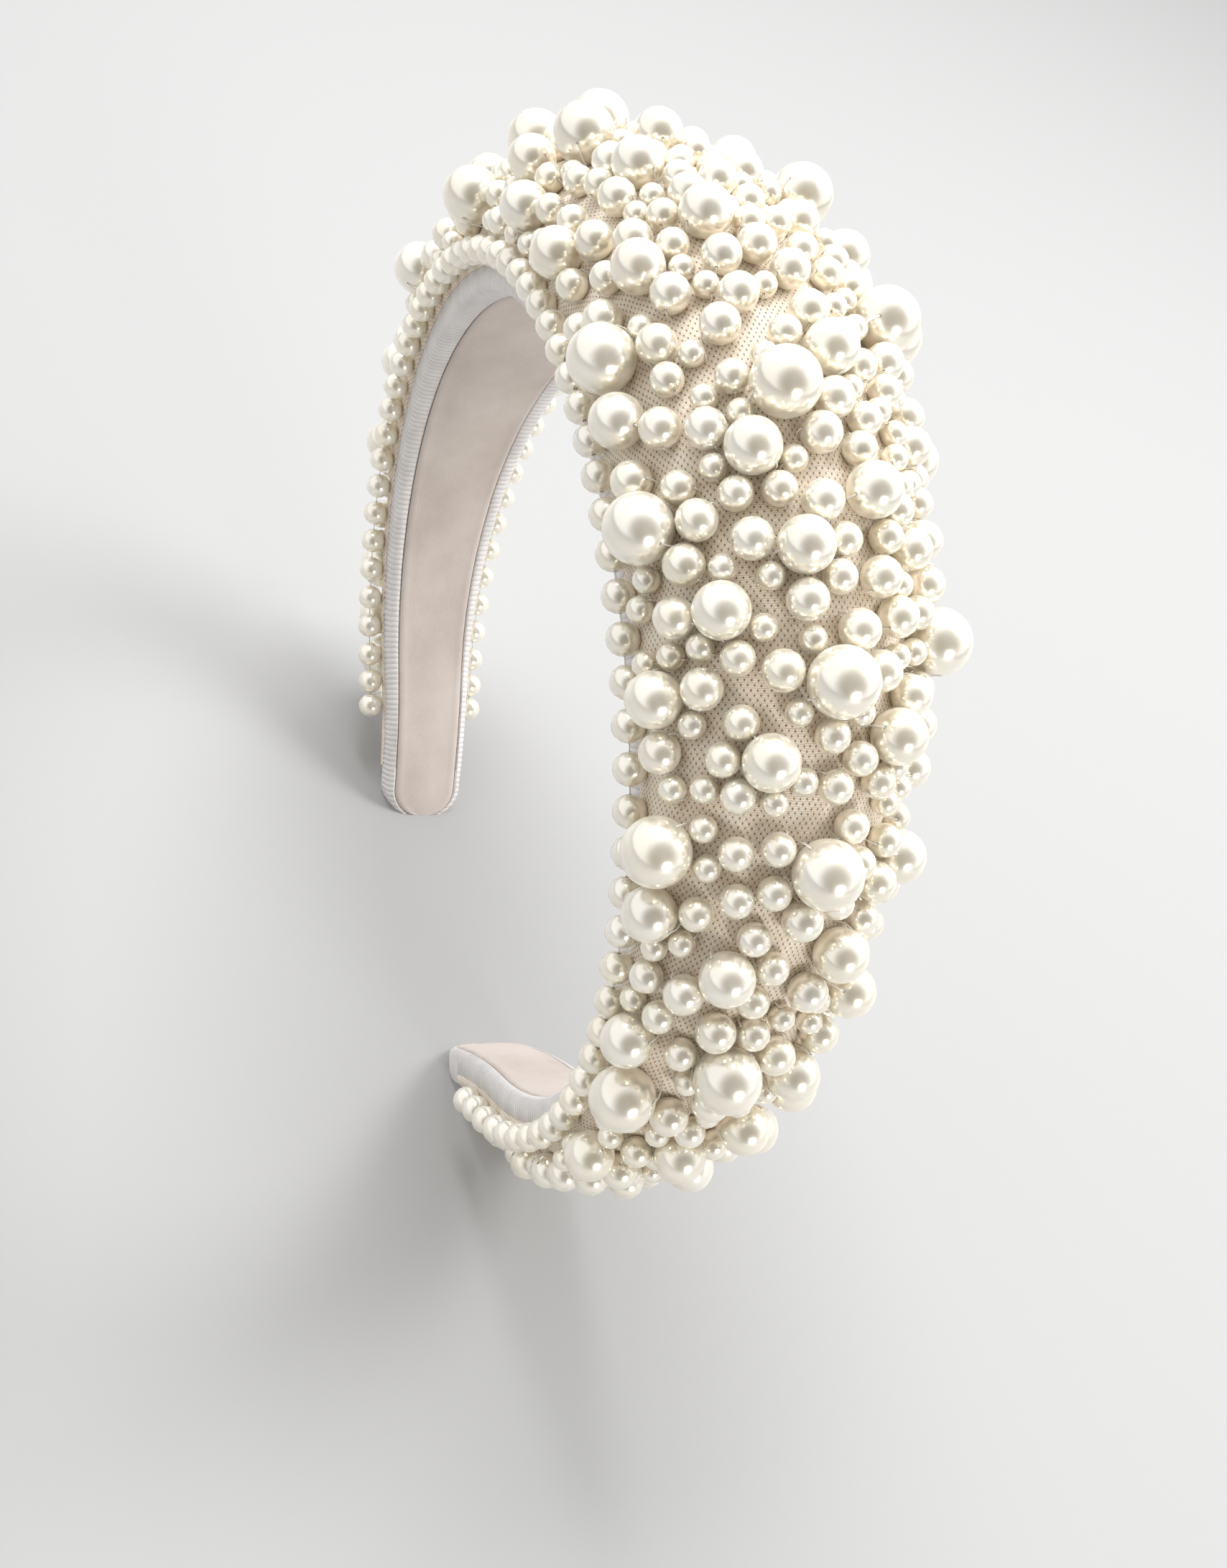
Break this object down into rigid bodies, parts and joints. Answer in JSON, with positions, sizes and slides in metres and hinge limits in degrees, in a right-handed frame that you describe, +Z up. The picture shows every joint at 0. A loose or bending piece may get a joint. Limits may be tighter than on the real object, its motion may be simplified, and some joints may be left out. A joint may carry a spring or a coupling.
{
  "type": "headband",
  "caption": "Wide padded headband covered in loose-set pearls of mixed sizes, with a pearl row along each edge, a velvet lining and two springy arms.",
  "frame": {"origin": "on the surface it stands on, midway between the two tips, under the middle of the crown", "axes": "+Z up, +X from the left tip to the right tip, +Y from the front edge to the back edge"},
  "size_m": [0.1933, 0.0602, 0.1718],
  "materials": {
    "core_plastic": "smooth, hidden",
    "foam": "open-cell foam, hidden",
    "cover_fabric": "cream satin-backed crepe",
    "hem_fabric": "fine ribbed, folded round the edge",
    "lining_velvet": "blush suede-like nap",
    "tape": "adhesive film, hidden",
    "thread": "clear-white sewing thread",
    "pearl": "cream nacre coating, high gloss"
  },
  "bodies": {
    "crown_section": {"crown_core_band": "core_plastic", "crown_foam_pad": "foam", "crown_cover": "cover_fabric", "crown_front_hem": "hem_fabric", "crown_back_hem": "hem_fabric", "crown_lining": "lining_velvet", "crown_lining_tape": "tape", "crown_front_edge_pearls": "pearl", "crown_back_edge_pearls": "pearl", "crown_front_edge_thread": "thread", "crown_back_edge_thread": "thread", "crown_pearls_10mm": "pearl", "crown_pearls_8mm": "pearl", "crown_pearls_6mm": "pearl", "crown_pearls_5mm": "pearl", "crown_pearls_4mm": "pearl", "crown_pearl_stitches": "thread"},
    "left_arm": {"left_core_band": "core_plastic", "left_foam_pad": "foam", "left_cover": "cover_fabric", "left_front_hem": "hem_fabric", "left_back_hem": "hem_fabric", "left_lining": "lining_velvet", "left_lining_tape": "tape", "left_tip_wrap": "lining_velvet", "left_front_edge_pearls": "pearl", "left_back_edge_pearls": "pearl", "left_front_edge_thread": "thread", "left_back_edge_thread": "thread", "left_pearls_10mm": "pearl", "left_pearls_8mm": "pearl", "left_pearls_6mm": "pearl", "left_pearls_5mm": "pearl", "left_pearls_4mm": "pearl", "left_pearl_stitches": "thread"},
    "right_arm": {"right_core_band": "core_plastic", "right_foam_pad": "foam", "right_cover": "cover_fabric", "right_front_hem": "hem_fabric", "right_back_hem": "hem_fabric", "right_lining": "lining_velvet", "right_lining_tape": "tape", "right_tip_wrap": "lining_velvet", "right_front_edge_pearls": "pearl", "right_back_edge_pearls": "pearl", "right_front_edge_thread": "thread", "right_back_edge_thread": "thread", "right_pearls_10mm": "pearl", "right_pearls_8mm": "pearl", "right_pearls_6mm": "pearl", "right_pearls_5mm": "pearl", "right_pearls_4mm": "pearl", "right_pearl_stitches": "thread"}
  },
  "joints": [
    {"name": "left_flex", "type": "hinge", "parent": "crown_section", "child": "left_arm", "pos_m": [-0.07316, 0, 0.12649], "axis": [0, 1, 0], "range_deg": [0, 12], "stiffness_Nm_per_rad": 0.95},
    {"name": "right_flex", "type": "hinge", "parent": "crown_section", "child": "right_arm", "pos_m": [0.07316, 0, 0.12649], "axis": [0, -1, 0], "range_deg": [0, 12], "stiffness_Nm_per_rad": 0.95}
  ]
}
